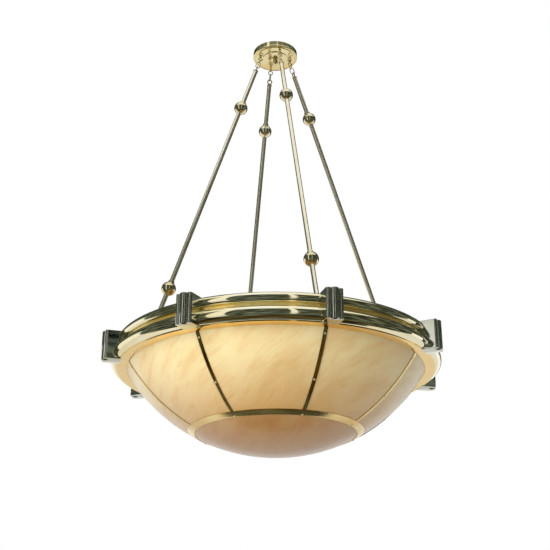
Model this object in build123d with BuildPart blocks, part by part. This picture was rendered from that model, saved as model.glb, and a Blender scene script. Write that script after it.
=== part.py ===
"""Alabaster bowl pendant.

A shallow spherical bowl of alabaster panels stands in a double-moulded brass ring. Four
sloping brass rods, each with two balls, hang the ring on links from a round ceiling canopy.

Millimetres, +Z up. The origin is the centre of the canopy's rim, in the plane of the ceiling.
Names that end in _rise are heights above the underside of the ring's flange.
"""

import os
from math import acos, asin, atan, atan2, ceil, cos, degrees, pi, radians, sin, sqrt

from build123d import *

os.makedirs("parts", exist_ok=True)

# ---------------------------------------------------------------- driving dimensions
drop = 1043.0  # ceiling to the underside of the ring's flange
rod_bearings = [-90.0, 0.0, 90.0, 180.0]  # rod 1 is in front, then anticlockwise from above
clip_count = 8

# Bowl
rim_radius = 402.0  # outer radius where the bowl passes the flange's underside
bowl_depth = 217.0  # from there to the lowest point
stone_thickness = 6.0
stone_top_rise = 8.0  # the stone stands this far up inside the ring
stone_joint = 3.4  # gap between neighbouring panels, which takes the strip screws
dish_radius = 219.0  # the joint round the bottom dish
stone_play = 0.3  # between stone and metal
bowl_facet = 3.8  # degrees of the bowl's curve in one straight-sided band
strip_end_play = 0.3  # where a rib strip meets the centre strip

# Ring
wall_gap = 20.0  # from the bowl's rim out to the ring's wall
wall_thickness = 3.0
flange_reach = 5.0  # how far the flange stands out from the wall
flange_thickness = 2.0
wall_top_rise = 70.0
lower_roll_radius = 18.0
lower_roll_reach = 22.0  # how far the roll stands out from the wall
upper_roll_radius = 14.0
upper_roll_reach = 11.0
band_height = 9.5  # bare wall between the two rolls
roll_wall = 1.5
roll_sides = 16  # of the whole circle that a roll is part of
roll_seat = 0.1  # solder gap under the lower roll

# Ring clips
clip_width = 44.0
clip_reach = 18.0  # from the lower roll's crown to the middle of the main reed
clip_foot = 1.0  # below the flange
clip_head = 1.2  # above the upper roll
clip_play = 0.2
clip_hook = 2.0  # how far a clip reaches in under the flange's edge
main_reed_radius = 10.5
side_reed_radius = 6.0
side_reed_setback = 1.0
clip_screw_radius = 2.0
clip_screw_sides = 8
clip_screw_head_flats = 7.0
clip_screw_head_height = 2.5
clip_screw_bite = 14.0  # length of screw inside the clip
screw_play = 0.2

# Strips over the stone's joints
strip_width = 10.0
strip_thickness = 1.5
strip_top_drop = 0.5  # below the flange
centre_strip_laps = [-3.3, 14.6]  # its edges, from the joint round the dish
inner_rib_width = 16.0
inner_rib_thickness = 2.0
strip_screw_radius = 1.3
strip_screw_sides = 6
strip_screw_head_radius = 2.6
strip_screw_head_height = 1.3
rib_screw_set_ins = [8.0, 89.6]  # level distance of the rib screws from the bowl's rim

# Canopy
canopy_radius = 68.0
canopy_height = 16.0
canopy_wall = 1.5
canopy_step = 3.0
canopy_ring_set_ins = [8.0, 28.0]  # the underside steps down this far in from the rim
plate_play = 1.5
plate_thickness = 4.0
crossbar_end = 11.5  # beyond the middle of a fixing hole
crossbar_width = 16.0
crossbar_thickness = 3.0
fixing_spacing = 89.0  # ceiling box screws
fixing_hole_radius = 2.5
nipple_radius = 4.9
nipple_bore_radius = 3.3
nut_across_flats = 17.0
nut_thickness = 5.0
thread_play = 0.1
nipple_reach = 6.0  # below the canopy
cap_nut_radius = 13.0
cap_nut_flange = 2.5
cap_nut_waist = 9.0
cap_nut_height = 18.0
cap_nut_play = 0.2
knob_facets = 5

# Links
eye_hang = 7.5  # canopy's underside to the centre of a canopy eye
eye_sides = 16
eye_outer_radius = 7.0
eye_hole_radius = 4.0
eye_thickness = 3.0
eye_shank_radius = 3.0
bar_size = 2.5  # square section of rings and links
ring_radius = 6.75  # to the middle of the bar
link_half_width = 6.25  # to the middle of the bar
link_sides = 14
link_play = 0.5
pivot_play = 0.85  # loose fit of a ring link in its lug
ring_link_pitch = 20.0  # between the middles of its end bars

# Rods
chain_drop = 36.5  # from a canopy eye down to the rod's upper eye
rod_eye_set_in = 8.5  # of the rod's upper eye from the canopy's edge
foot_rise = 26.6
rod_eye_outer_radius = 8.5
rod_eye_hole_radius = 4.8
rod_eye_thickness = 3.0
collar_radius = 7.6
collar_height = 5.0
tube_radius = 6.35
tube_bore_radius = 4.8
spigot_length = 10.0
ball_radius = 20.0
ball_collar_radius = 8.6
ball_collar_height = 4.0  # above the top of the ball
ball_facets = 8
socket_depth = 12.0
socket_play = 0.1
upper_ball_drop = 217.7  # ceiling to ball centre
lower_ball_rise = 216.5

# Lugs
lug_reach = 55.4  # from the ring's wall in to the middle of the hole
lug_thickness = 5.0
lug_end_radius = 9.0
lug_root_height = 21.0
lug_seat = 0.05

# Lamps
lamp_bar_width = 24.0
lamp_bar_thickness = 3.0
bar_play = 0.1
bar_end_play = 0.4
lamp_spacing = 150.0
lamp_count = 3
holder_wall = 4.4
holder_length = 34.0
holder_floor = 6.0
bulb_base_radius = 13.0
bulb_side_play = 0.6
bulb_stand = 1.0  # how far the lamp's base stands out of its holder
bulb_radius = 15.0
bulb_length = 118.0
bulb_shoulder = 6.0
bulb_tip_radius = 8.0
bulb_play = 0.5

# ---------------------------------------------------------------- worked out from those
flange_z = -drop
sphere_radius = (rim_radius**2 + bowl_depth**2) / (2 * bowl_depth)
sphere_z = flange_z + sphere_radius - bowl_depth
inner_sphere_radius = sphere_radius - stone_thickness
strip_inner_radius = sphere_radius + stone_play
strip_outer_radius = strip_inner_radius + strip_thickness
rib_outer_radius = inner_sphere_radius - stone_play
rib_inner_radius = rib_outer_radius - inner_rib_thickness
wall_inner_radius = rim_radius + wall_gap
wall_outer_radius = wall_inner_radius + wall_thickness
flange_outer_radius = wall_outer_radius + flange_reach
lower_roll_centre = wall_outer_radius + lower_roll_reach - lower_roll_radius
lower_roll_rise = flange_thickness + roll_seat + lower_roll_radius
upper_roll_centre = wall_outer_radius + upper_roll_reach - upper_roll_radius
lower_roll_half_height = sqrt(lower_roll_radius**2 - (lower_roll_centre - wall_outer_radius) ** 2)
upper_roll_half_height = sqrt(upper_roll_radius**2 - (upper_roll_centre - wall_outer_radius) ** 2)
band_rise = lower_roll_rise + lower_roll_half_height
upper_roll_rise = band_rise + band_height + upper_roll_half_height
band_middle_rise = band_rise + band_height / 2
ring_top_rise = upper_roll_rise + upper_roll_radius
clip_front_radius = lower_roll_centre + lower_roll_radius + clip_reach
clip_hook_radius = flange_outer_radius - clip_hook
joint_angle = 360 / clip_count
bar_half = bar_size / 2
canopy_ring_radii = [canopy_radius - set_in for set_in in canopy_ring_set_ins]
canopy_bottom = -canopy_height - canopy_step * len(canopy_ring_radii)
eye_drop = eye_hang - canopy_bottom
rod_eye_drop = eye_drop + chain_drop
rod_eye_radius = canopy_radius - rod_eye_set_in
foot_radius = wall_inner_radius - lug_reach
lower_ball_drop = drop - lower_ball_rise
rib_screw_radii = [rim_radius - set_in for set_in in rib_screw_set_ins]
centre_strip_inner_radius, centre_strip_outer_radius = [
    dish_radius + lap for lap in centre_strip_laps
]
rod_slope = atan((foot_radius - rod_eye_radius) / (drop - foot_rise - rod_eye_drop))
frame_tab_rise = stone_top_rise + stone_play
lamp_bar_rise = frame_tab_rise + inner_rib_thickness + bar_play
lug_root_rise = lamp_bar_rise + lamp_bar_thickness + bar_play


def height(rise):
    """Height in the pendant's frame of a place given by its rise above the flange's underside."""
    return flange_z + rise


def sphere_reach(ball, rise):
    """Distance from the axis of a point on a sphere about the bowl's centre, at this rise."""
    return sqrt(ball**2 - (sphere_z - flange_z - rise) ** 2)


def dip(ball, radius):
    """Angle below the horizontal, in degrees, of a point on such a sphere at this radius."""
    return -degrees(acos(radius / ball))


def dip_at_rise(ball, rise):
    """The same for a point at this rise."""
    return -degrees(asin((sphere_z - flange_z - rise) / ball))


def upright(bearing):
    """Upright plane through the pendant's axis: local x runs outwards and local y upwards."""
    outward = Vector(cos(radians(bearing)), sin(radians(bearing)), 0)
    return Plane(origin=(0, 0, 0), x_dir=outward, z_dir=(outward.Y, -outward.X, 0))


def on_rod(distance):
    """(radius, height) this far down the rod's line from the centre of the rod's upper eye."""
    return (
        rod_eye_radius + distance * sin(rod_slope),
        -rod_eye_drop - distance * cos(rod_slope),
    )


def rod_distance(depth):
    """Distance down the rod's line to a place this far under the ceiling."""
    return (depth - rod_eye_drop) / cos(rod_slope)


def rod_frame(bearing, distance, flat=False):
    """Plane at a point of the rod's line whose local x runs down the rod.

    Its local z is tangential, so a loop drawn on it lies in the rod's upright plane. With flat,
    local z points outwards across the rod instead, and the loop stands square to that plane.
    """
    radius, level = on_rod(distance)
    turn = radians(bearing)
    down = Vector(
        sin(rod_slope) * cos(turn), sin(rod_slope) * sin(turn), -cos(rod_slope)
    )
    tangent = Vector(-sin(turn), cos(turn), 0)
    return Plane(
        origin=(radius * cos(turn), radius * sin(turn), level),
        x_dir=down,
        z_dir=down.cross(tangent) if flat else tangent,
    )


def rod_square(bearing, distance):
    """Plane square to the rod at a point of its line, with local z running down the rod."""
    along = rod_frame(bearing, distance)
    return Plane(origin=along.origin, x_dir=along.z_dir, z_dir=along.x_dir)


def loop_outline(half_straight, radius):
    """Corners of a long loop with straight sides and many-sided ends, long way along local x.

    radius is the distance from an end's middle to the flats of its sides.
    """
    end_sides = link_sides // 2
    corner_radius = radius / cos(pi / link_sides)
    corners = []
    for side in (1, -1):
        for step in range(end_sides + 1):
            turn = radians(180 * step / end_sides) - side * pi / 2
            corners.append(
                (side * half_straight + corner_radius * cos(turn), corner_radius * sin(turn))
            )
    return corners


def bar_loop(plane, pitch, half_width):
    """Loop of square bar on a plane, its long way along local x. Sizes are to the bar's middle."""
    half_straight = pitch / 2 - half_width
    with BuildPart() as loop:
        with BuildSketch(plane):
            Polygon(*loop_outline(half_straight, half_width + bar_half), align=None)
            Polygon(
                *loop_outline(half_straight, half_width - bar_half),
                align=None,
                mode=Mode.SUBTRACT,
            )
        extrude(amount=bar_half, both=True)
    return loop.part


def bowl_line(ball, low_dip, high_dip):
    """Points along the bowl's curve on the XZ plane, a band's width apart or less."""
    bands = ceil((high_dip - low_dip) / bowl_facet)
    dips = [radians(low_dip + (high_dip - low_dip) * band / bands) for band in range(bands + 1)]
    return [(ball * cos(turn), sphere_z + ball * sin(turn)) for turn in dips]


def shell_section(outer_ball, inner_ball, low_dip, top_rise):
    """Face of a bowl wall on the XZ plane, from a joint square to the wall up to a level edge."""
    with BuildSketch(Plane.XZ) as section:
        Polygon(
            *bowl_line(outer_ball, low_dip, dip_at_rise(outer_ball, top_rise)),
            *reversed(bowl_line(inner_ball, low_dip, dip_at_rise(inner_ball, top_rise))),
            align=None,
        )
    return section.sketch


def band_section(outer_ball, inner_ball, low_dip, high_dip):
    """Face of a bowl wall on the XZ plane, between two edges square to the wall."""
    with BuildSketch(Plane.XZ) as section:
        Polygon(
            *bowl_line(outer_ball, low_dip, high_dip),
            *reversed(bowl_line(inner_ball, low_dip, high_dip)),
            align=None,
        )
    return section.sketch


def joint_star(width):
    """Upright bars of this width that cross at the axis, one over each pair of facing joints."""
    with BuildPart() as star:
        with BuildSketch(Plane.XY.offset(flange_z - 1.5 * bowl_depth)):
            with PolarLocations(0, clip_count // 2, angular_range=180, endpoint=False):
                Rectangle(2 * wall_inner_radius, width)
        extrude(amount=2 * bowl_depth)
    return star.part


def outward_plane(rise, bearing):
    """Upright plane at the pendant's axis, at this rise, whose local z points outwards."""
    turn = radians(bearing)
    return Plane(
        origin=(0, 0, height(rise)),
        x_dir=(-sin(turn), cos(turn), 0),
        z_dir=(cos(turn), sin(turn), 0),
    )


def stone_plane(ball, radius, bearing):
    """Plane touching a sphere about the bowl's centre, local z outwards, over a place on the stone.

    The place lies at this distance from the pendant's axis on the stone's outer face.
    """
    fall = radians(dip(sphere_radius, radius))
    turn = radians(bearing)
    outward = Vector(cos(fall) * cos(turn), cos(fall) * sin(turn), sin(fall))
    return Plane(origin=Vector(0, 0, sphere_z) + outward * ball, z_dir=outward)


def export(piece, name):
    """Name a finished piece and write its file."""
    piece.label = name
    export_step(piece, f"parts/{name}.step")


# ---------------------------------------------------------------- canopy
eye_axis_radius = rod_eye_radius + rod_distance(eye_drop) * sin(rod_slope)
rim_hole_radius = nipple_radius + thread_play
shank_hole_radius = eye_shank_radius + thread_play
plate_z = -canopy_height - canopy_step + canopy_wall
plate_radius = canopy_ring_radii[0] - canopy_wall - plate_play
nipple_bottom = canopy_bottom - nipple_reach
knob_radius = cap_nut_waist
knob_z = canopy_bottom - cap_nut_height + knob_radius


def canopy_profile(inset):
    """Corners of the stepped dish from its rim inwards, drawn in by inset, and its last level."""
    level = -canopy_height + inset
    corners = [(canopy_radius - inset, 0), (canopy_radius - inset, level)]
    for step_radius in canopy_ring_radii:
        corners.append((step_radius - inset, level))
        level -= canopy_step
        corners.append((step_radius - inset, level))
    return corners, level


with BuildPart() as canopy:
    outer_corners, outer_level = canopy_profile(0)
    inner_corners, inner_level = canopy_profile(canopy_wall)
    with BuildSketch(Plane.XZ):
        with BuildLine():
            Polyline(
                *outer_corners,
                (rim_hole_radius, outer_level),
                (rim_hole_radius, inner_level),
                *reversed(inner_corners),
                close=True,
            )
        make_face()
    revolve(axis=Axis.Z)
    with BuildSketch(Plane.XY):
        with PolarLocations(eye_axis_radius, len(rod_bearings)):
            Circle(shank_hole_radius)
    extrude(amount=canopy_bottom, mode=Mode.SUBTRACT)
export(canopy.part, "canopy")

with BuildPart() as hanger_plate:
    with BuildSketch(Plane.XY.offset(plate_z)):
        Circle(plate_radius)
        Circle(rim_hole_radius, mode=Mode.SUBTRACT)
        with PolarLocations(eye_axis_radius, len(rod_bearings)):
            Circle(shank_hole_radius, mode=Mode.SUBTRACT)
    extrude(amount=plate_thickness)
export(hanger_plate.part, "hanger_plate")

with BuildPart() as crossbar:
    with BuildSketch(Plane.XY):
        SlotOverall(fixing_spacing + 2 * crossbar_end, crossbar_width)
        with GridLocations(fixing_spacing, 0, 2, 1):
            Circle(fixing_hole_radius, mode=Mode.SUBTRACT)
        Circle(rim_hole_radius, mode=Mode.SUBTRACT)
    extrude(amount=-crossbar_thickness)
export(crossbar.part, "crossbar")

with BuildPart() as nipple:
    with BuildSketch(Plane.XY):
        Circle(nipple_radius)
        Circle(nipple_bore_radius, mode=Mode.SUBTRACT)
    extrude(amount=nipple_bottom)
export(nipple.part, "nipple")

# One nut under the crossbar and one on the hanger plate
with BuildPart() as lock_nuts:
    for nut_level in (-crossbar_thickness - nut_thickness, plate_z + plate_thickness):
        with BuildSketch(Plane.XY.offset(nut_level)):
            RegularPolygon(nut_across_flats / 2, 6, major_radius=False)
            Circle(rim_hole_radius, mode=Mode.SUBTRACT)
        extrude(amount=nut_thickness)
export(lock_nuts.part, "lock_nuts")

# Turned finial nut under the canopy: a flange, a waist and a round knob
with BuildPart() as cap_nut:
    with BuildSketch(Plane.XZ):
        knob_turns = [pi / 2 * facet / knob_facets for facet in range(knob_facets + 1)]
        Polygon(
            (0, nipple_bottom - cap_nut_play),
            (rim_hole_radius, nipple_bottom - cap_nut_play),
            (rim_hole_radius, canopy_bottom - cap_nut_play),
            (cap_nut_radius, canopy_bottom - cap_nut_play),
            (cap_nut_radius, canopy_bottom - cap_nut_flange),
            (cap_nut_waist, canopy_bottom - cap_nut_flange),
            *[(knob_radius * cos(turn), knob_z - knob_radius * sin(turn)) for turn in knob_turns],
            align=None,
        )
    revolve(axis=Axis.Z)
export(cap_nut.part, "cap_nut")

# Screw eyes: each shank passes through canopy and plate, and the drilled eye hangs below
shank_length = plate_z + plate_thickness + eye_drop - (eye_hole_radius + eye_outer_radius) / 2
with BuildPart() as canopy_eyes:
    for bearing in rod_bearings:
        with BuildSketch(upright(bearing)):
            with Locations((eye_axis_radius, -eye_drop)):
                RegularPolygon(eye_outer_radius, eye_sides)
                RegularPolygon(eye_hole_radius, eye_sides, major_radius=False, mode=Mode.SUBTRACT)
        extrude(amount=eye_thickness / 2, both=True)
    with BuildSketch(Plane.XY.offset(plate_z + plate_thickness)):
        with PolarLocations(eye_axis_radius, len(rod_bearings)):
            Circle(eye_shank_radius)
    extrude(amount=-shank_length)
export(canopy_eyes.part, "canopy_eyes")

# ---------------------------------------------------------------- rods
# Places down each rod's line, measured from the centre of the rod's upper eye. The ring hangs
# in the canopy's eye, the link in the ring and the rod's upper eye on the link. At the foot a
# second link joins the rod's lower eye to the lug inside the ring.
ring_top = rod_distance(eye_drop) + eye_hole_radius - bar_half - link_play
ring_bottom = ring_top + 2 * ring_radius
link_top = ring_bottom - bar_size - link_play
link_bottom = bar_half + link_play - rod_eye_hole_radius
lug_place = rod_distance(drop - foot_rise)
foot_link_top = lug_place - ring_link_pitch
foot_eye = foot_link_top - rod_eye_hole_radius + bar_half + link_play
ball_places = [rod_distance(upper_ball_drop), rod_distance(lower_ball_drop)]
tube_inset = ball_radius - socket_depth
tube_stops = [rod_eye_outer_radius + collar_height]
for ball_place in ball_places:
    tube_stops += [ball_place - tube_inset, ball_place + tube_inset]
tube_stops.append(foot_eye - rod_eye_outer_radius - collar_height)
tube_spans = list(zip(tube_stops[0::2], tube_stops[1::2]))
spigot_radius = tube_bore_radius - socket_play
socket_radius = tube_radius + socket_play
ball_start = asin(ball_collar_radius / ball_radius)
ball_turn = pi - asin(socket_radius / ball_radius) - ball_start
ball_turns = [ball_start + ball_turn * facet / ball_facets for facet in range(ball_facets + 1)]
ball_outline = [(-ball_radius * cos(turn), ball_radius * sin(turn)) for turn in ball_turns]

for number, bearing in enumerate(rod_bearings, start=1):
    ring_middle = rod_frame(bearing, ring_top + ring_radius, flat=True)
    export(bar_loop(ring_middle, 2 * ring_radius, ring_radius), f"top_ring_{number}")

    link_middle = rod_frame(bearing, (link_top + link_bottom) / 2)
    link_pitch = link_bottom - link_top
    export(bar_loop(link_middle, link_pitch, link_half_width), f"top_link_{number}")

    # Drilled eye, collar and spigot at each end of the rod
    with BuildPart() as rod_eyes:
        for eye_place, side in ((0, 1), (foot_eye, -1)):
            with BuildSketch(rod_frame(bearing, eye_place, flat=side > 0)):
                RegularPolygon(rod_eye_outer_radius, eye_sides)
                RegularPolygon(
                    rod_eye_hole_radius, eye_sides, major_radius=False, mode=Mode.SUBTRACT
                )
            extrude(amount=rod_eye_thickness / 2, both=True)
            neck = (rod_eye_outer_radius + rod_eye_hole_radius) / 2
            with BuildSketch(rod_square(bearing, eye_place + side * neck)):
                Circle(spigot_radius)
            extrude(amount=side * (rod_eye_outer_radius + collar_height + spigot_length - neck))
            with BuildSketch(rod_square(bearing, eye_place + side * rod_eye_outer_radius)):
                Circle(collar_radius)
            extrude(amount=side * collar_height)
    export(rod_eyes.part, f"rod_eyes_{number}")

    with BuildPart() as rod_tubes:
        for start, stop in tube_spans:
            with BuildSketch(rod_square(bearing, start)):
                Circle(tube_radius)
                Circle(tube_bore_radius, mode=Mode.SUBTRACT)
            extrude(amount=stop - start)
    export(rod_tubes.part, f"rod_tubes_{number}")

    # Balls with a collar on top and a socket for the tube at each side, each turned about the
    # rod's line from half its outline: local x runs down the rod
    with BuildPart() as rod_balls:
        for ball_place in ball_places:
            ball_middle = rod_frame(bearing, ball_place)
            with BuildSketch(ball_middle):
                Polygon(
                    (-tube_inset, 0),
                    (-tube_inset, socket_radius),
                    (-ball_radius - ball_collar_height, socket_radius),
                    (-ball_radius - ball_collar_height, ball_collar_radius),
                    *ball_outline,
                    (tube_inset, socket_radius),
                    (tube_inset, 0),
                    align=None,
                )
            revolve(axis=Axis(ball_middle.origin, ball_middle.x_dir))
    export(rod_balls.part, f"rod_balls_{number}")

    foot_link_middle = rod_frame(bearing, lug_place - ring_link_pitch / 2, flat=True)
    export(bar_loop(foot_link_middle, ring_link_pitch, link_half_width), f"ring_link_{number}")

# ---------------------------------------------------------------- ring
with BuildPart() as ring_flange:
    with BuildSketch(Plane.XZ):
        with BuildLine():
            Polyline(
                (rim_radius + stone_play, height(0)),
                (flange_outer_radius, height(0)),
                (flange_outer_radius, height(flange_thickness)),
                (
                    sphere_reach(sphere_radius, flange_thickness) + stone_play,
                    height(flange_thickness),
                ),
                close=True,
            )
        make_face()
    revolve(axis=Axis.Z)
export(ring_flange.part, "ring_flange")

clip_bearings = [joint_angle * number for number in range(clip_count)]

with BuildPart() as ring_wall:
    with BuildSketch(Plane.XY.offset(height(flange_thickness))):
        Circle(wall_outer_radius)
        Circle(wall_inner_radius, mode=Mode.SUBTRACT)
    extrude(amount=wall_top_rise - flange_thickness)
    for bearing in clip_bearings:
        with BuildSketch(outward_plane(band_middle_rise, bearing)):
            RegularPolygon(clip_screw_radius + screw_play, clip_screw_sides)
        extrude(amount=flange_outer_radius, mode=Mode.SUBTRACT)
export(ring_wall.part, "ring_wall")

# Half-round mouldings, open at the back, that stand against the wall
rolls = {
    "lower_roll": (lower_roll_centre, lower_roll_rise, lower_roll_radius),
    "upper_roll": (upper_roll_centre, upper_roll_rise, upper_roll_radius),
}
for name, (centre, rise, radius) in rolls.items():
    with BuildPart() as roll:
        with BuildSketch(Plane.XZ):
            with Locations((centre, height(rise))):
                RegularPolygon(radius, roll_sides)
                RegularPolygon(radius - roll_wall, roll_sides, mode=Mode.SUBTRACT)
            with Locations((wall_outer_radius - radius, height(rise))):
                Rectangle(2 * radius, 2 * radius, mode=Mode.SUBTRACT)
        revolve(axis=Axis.Z)
    export(roll.part, name)

# Lugs brazed to the wall, level with the rods: an arm that ends round the hole
lug_hole_radius = bar_half * sqrt(2) + pivot_play
with BuildPart() as ring_lugs:
    for bearing in rod_bearings:
        root_radius = wall_inner_radius - lug_seat
        with BuildSketch(upright(bearing)):
            Polygon(
                (root_radius, height(lug_root_rise)),
                (root_radius, height(lug_root_rise + lug_root_height)),
                (foot_radius, height(foot_rise + lug_end_radius)),
                (foot_radius, height(foot_rise - lug_end_radius)),
                align=None,
            )
            with Locations((foot_radius, height(foot_rise))):
                RegularPolygon(lug_end_radius, eye_sides, major_radius=False)
                RegularPolygon(lug_hole_radius, eye_sides, major_radius=False, mode=Mode.SUBTRACT)
        extrude(amount=lug_thickness / 2, both=True)
export(ring_lugs.part, "ring_lugs")

# What a clip has to clear: both rolls and the flange, each a little larger than it is
with BuildPart() as clip_room:
    with BuildSketch(Plane.XZ):
        for centre, rise, radius in rolls.values():
            with Locations((centre, height(rise))):
                RegularPolygon(radius + clip_play, roll_sides)
        with Locations((flange_outer_radius / 2 + clip_play, height(flange_thickness / 2))):
            Rectangle(flange_outer_radius, flange_thickness + 2 * clip_play)
    revolve(axis=Axis.Z)

# Clips: a block over both rolls, hooked over the ring, with three upright reeds in front
clip_bottom = -clip_foot
clip_height = ring_top_rise + clip_head + clip_foot
side_reed_offset = clip_width / 2 - side_reed_radius
with BuildPart() as ring_clips:
    for bearing in clip_bearings:
        turn = radians(bearing)
        base = Plane(
            origin=(0, 0, height(clip_bottom)), x_dir=(cos(turn), sin(turn), 0), z_dir=(0, 0, 1)
        )
        with BuildSketch(base):
            with Locations(((clip_hook_radius + clip_front_radius) / 2, 0)):
                Rectangle(clip_front_radius - clip_hook_radius, clip_width)
            with Locations((clip_front_radius, 0)):
                Circle(main_reed_radius)
            with Locations(
                (clip_front_radius - side_reed_setback, side_reed_offset),
                (clip_front_radius - side_reed_setback, -side_reed_offset),
            ):
                Circle(side_reed_radius)
        extrude(amount=clip_height)
        # Tenon that fills the band between the rolls and meets the wall
        tenon_start = wall_outer_radius + clip_play
        with BuildSketch(base.offset(band_rise + clip_foot + clip_play)):
            with Locations(((tenon_start + clip_front_radius) / 2, 0)):
                Rectangle(clip_front_radius - tenon_start, clip_width)
        extrude(amount=band_height - 2 * clip_play)
    add(clip_room.part, mode=Mode.SUBTRACT)
    for bearing in clip_bearings:
        with BuildSketch(outward_plane(band_middle_rise, bearing)):
            RegularPolygon(clip_screw_radius + screw_play, clip_screw_sides)
        extrude(amount=tenon_start + clip_screw_bite, mode=Mode.SUBTRACT)
export(ring_clips.part, "ring_clips")

# Hexagon screws from inside the ring, one into each clip
with BuildPart() as clip_screws:
    for bearing in clip_bearings:
        screw_plane = outward_plane(band_middle_rise, bearing)
        seat_radius = wall_inner_radius - screw_play
        with BuildSketch(screw_plane.offset(seat_radius)):
            RegularPolygon(clip_screw_radius, clip_screw_sides)
        extrude(amount=tenon_start + clip_screw_bite - screw_play - seat_radius)
        with BuildSketch(screw_plane.offset(seat_radius - clip_screw_head_height)):
            RegularPolygon(clip_screw_head_flats / 2, 6, major_radius=False)
        extrude(amount=clip_screw_head_height)
export(clip_screws.part, "clip_screws")

# ---------------------------------------------------------------- bowl
joint_half_angle = degrees(stone_joint / 2 / sphere_radius)
dish_dip = dip(sphere_radius, dish_radius)

# Side panels: a turned wall cut apart along the joints, numbered anticlockwise from above and
# starting in front of the left-hand rod
with BuildPart() as side_wall:
    add(shell_section(sphere_radius, inner_sphere_radius, dish_dip + joint_half_angle, stone_top_rise))
    revolve(axis=Axis.Z)
    add(joint_star(stone_joint), mode=Mode.SUBTRACT)
panels = side_wall.part.solids().sort_by(lambda panel: atan2(panel.center().Y, panel.center().X))
for number, panel in enumerate(panels, start=1):
    with BuildPart() as side_panel:
        add(panel)
    export(side_panel.part, f"side_panel_{number}")

with BuildPart() as bottom_dish:
    add(band_section(sphere_radius, inner_sphere_radius, -90, dish_dip - joint_half_angle))
    revolve(axis=Axis.Z)
export(bottom_dish.part, "bottom_dish")

# Screws over the joints: rows down each joint, and one more where it meets the dish
screw_places = [
    (radius, bearing) for radius in (*rib_screw_radii, dish_radius) for bearing in clip_bearings
]


def screw_holes():
    """Clearance holes for the strip screws, through every layer of the bowl."""
    with BuildPart() as holes:
        for radius, bearing in screw_places:
            with BuildSketch(stone_plane(rib_inner_radius - stone_thickness, radius, bearing)):
                RegularPolygon(strip_screw_radius + screw_play, strip_screw_sides)
            extrude(amount=3 * stone_thickness)
    return holes.part


strip_low_dip = dip(sphere_radius, centre_strip_outer_radius) + degrees(
    strip_end_play / sphere_radius
)
with BuildPart() as rib_strips:
    add(shell_section(strip_outer_radius, strip_inner_radius, strip_low_dip, -strip_top_drop))
    revolve(axis=Axis.Z)
    add(joint_star(strip_width), mode=Mode.INTERSECT)
    add(screw_holes(), mode=Mode.SUBTRACT)
export(rib_strips.part, "rib_strips")

centre_dips = [
    dip(sphere_radius, radius) for radius in (centre_strip_inner_radius, centre_strip_outer_radius)
]
with BuildPart() as centre_strip:
    add(band_section(strip_outer_radius, strip_inner_radius, *centre_dips))
    revolve(axis=Axis.Z)
    add(screw_holes(), mode=Mode.SUBTRACT)
export(centre_strip.part, "centre_strip")

# Cage inside the bowl: a rib behind each joint, a ring behind the dish's joint, and a tab at
# the head of each rib that lies over the stone's top edge and reaches the ring's wall
cage_half_angle = degrees(inner_rib_width / 2 / sphere_radius)
with BuildPart() as inner_frame:
    add(
        shell_section(
            rib_outer_radius, rib_inner_radius, dish_dip, frame_tab_rise + inner_rib_thickness
        )
    )
    revolve(axis=Axis.Z)
    add(joint_star(inner_rib_width), mode=Mode.INTERSECT)
    add(
        revolve(
            band_section(
                rib_outer_radius,
                rib_inner_radius,
                dish_dip - cage_half_angle,
                dish_dip + cage_half_angle,
            ),
            axis=Axis.Z,
            mode=Mode.PRIVATE,
        )
    )
    with BuildSketch(Plane.XY.offset(height(frame_tab_rise))):
        tab_start = sphere_reach(rib_inner_radius, frame_tab_rise)
        tab_end = wall_inner_radius - stone_play
        with PolarLocations((tab_start + tab_end) / 2, clip_count):
            Rectangle(tab_end - tab_start, inner_rib_width)
    extrude(amount=inner_rib_thickness)
    add(screw_holes(), mode=Mode.SUBTRACT)
export(inner_frame.part, "inner_frame")

with BuildPart() as strip_screws:
    for radius, bearing in screw_places:
        with BuildSketch(stone_plane(rib_inner_radius, radius, bearing)):
            RegularPolygon(strip_screw_radius, strip_screw_sides)
        extrude(amount=strip_outer_radius - rib_inner_radius + screw_play)
        with BuildSketch(stone_plane(strip_outer_radius + screw_play, radius, bearing)):
            RegularPolygon(strip_screw_head_radius, strip_screw_sides)
        extrude(amount=strip_screw_head_height)
export(strip_screws.part, "strip_screws")

# ---------------------------------------------------------------- lamps
bar_length = 2 * (wall_inner_radius - bar_end_play)
with BuildPart() as lamp_bar:
    with BuildSketch(Plane.XY.offset(height(lamp_bar_rise))):
        Rectangle(bar_length, lamp_bar_width)
    extrude(amount=lamp_bar_thickness)
export(lamp_bar.part, "lamp_bar")

holder_rise = lamp_bar_rise - holder_length
holder_bore_radius = bulb_base_radius + bulb_side_play
lamp_positions = [
    lamp_spacing * (number - (lamp_count - 1) / 2) for number in range(lamp_count)
]
holder_places = [(place, 0) for place in lamp_positions]
with BuildPart() as lampholders:
    with BuildSketch(Plane.XY.offset(height(holder_rise))):
        with Locations(*holder_places):
            Circle(holder_bore_radius + holder_wall)
    extrude(amount=holder_length)
    with BuildSketch(Plane.XY.offset(height(holder_rise))):
        with Locations(*holder_places):
            Circle(holder_bore_radius)
    extrude(amount=holder_length - holder_floor, mode=Mode.SUBTRACT)
export(lampholders.part, "lampholders")

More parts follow.
